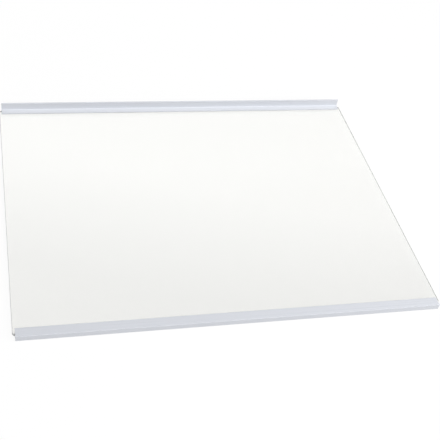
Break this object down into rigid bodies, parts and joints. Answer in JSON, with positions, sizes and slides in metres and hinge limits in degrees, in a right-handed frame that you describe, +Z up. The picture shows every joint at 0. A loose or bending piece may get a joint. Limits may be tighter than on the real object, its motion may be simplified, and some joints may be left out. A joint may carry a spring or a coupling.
{
  "type": "fridge glass shelf",
  "caption": "Flat clear glass fridge shelf with a pale plastic nosing over its front edge and a rear trim whose upstand keeps food off the back wall.",
  "frame": {"origin": "middle of the shelf's outline in plan, on the plane of the trims' undersides", "axes": "+X to the right along the trims, +Y to the rear of the fridge where the upstand is, +Z up"},
  "size_m": [0.47, 0.3826, 0.0171],
  "materials": {
    "clear_glass": "clear toughened float glass with ground edges",
    "trim_plastic": "satin pale lilac-white extruded plastic"
  },
  "bodies": {
    "root": {"glass_pane": "clear_glass", "front_trim": "trim_plastic", "rear_trim": "trim_plastic"}
  },
  "joints": []
}
